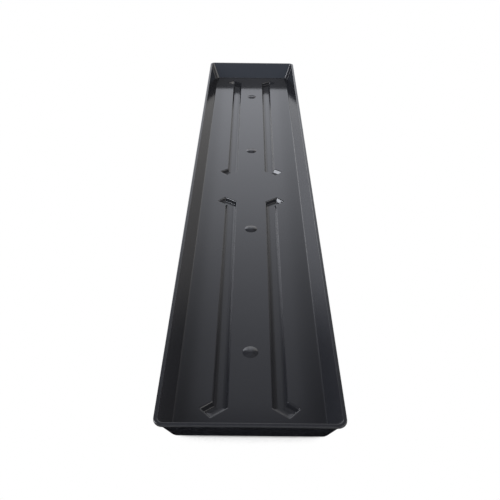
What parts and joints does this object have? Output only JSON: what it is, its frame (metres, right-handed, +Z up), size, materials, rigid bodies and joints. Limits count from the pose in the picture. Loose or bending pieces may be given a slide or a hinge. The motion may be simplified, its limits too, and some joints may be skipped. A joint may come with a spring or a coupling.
{
  "type": "plant saucer",
  "caption": "Long rectangular saucer for a balcony planter: shallow leaning walls, a rounded lip, and grooves in the floor that stand out below as foot runners.",
  "frame": {"origin": "middle of the tray's length and width, on the plane that its foot runners stand on", "axes": "+Y along the length, +X across the width, +Z up, out of the basin"},
  "size_m": [0.144, 0.772, 0.03],
  "materials": {
    "anthracite_plastic": "glossy as-moulded polypropylene, dark anthracite grey"
  },
  "bodies": {
    "root": {"floor_panel": "anthracite_plastic", "wall": "anthracite_plastic", "rim_lip": "anthracite_plastic", "foot_runner_front_left": "anthracite_plastic", "foot_runner_front_right": "anthracite_plastic", "foot_runner_back_left": "anthracite_plastic", "foot_runner_back_right": "anthracite_plastic", "gate_dome_1": "anthracite_plastic", "gate_dome_2": "anthracite_plastic", "gate_dome_3": "anthracite_plastic", "gate_dome_4": "anthracite_plastic"}
  },
  "joints": []
}
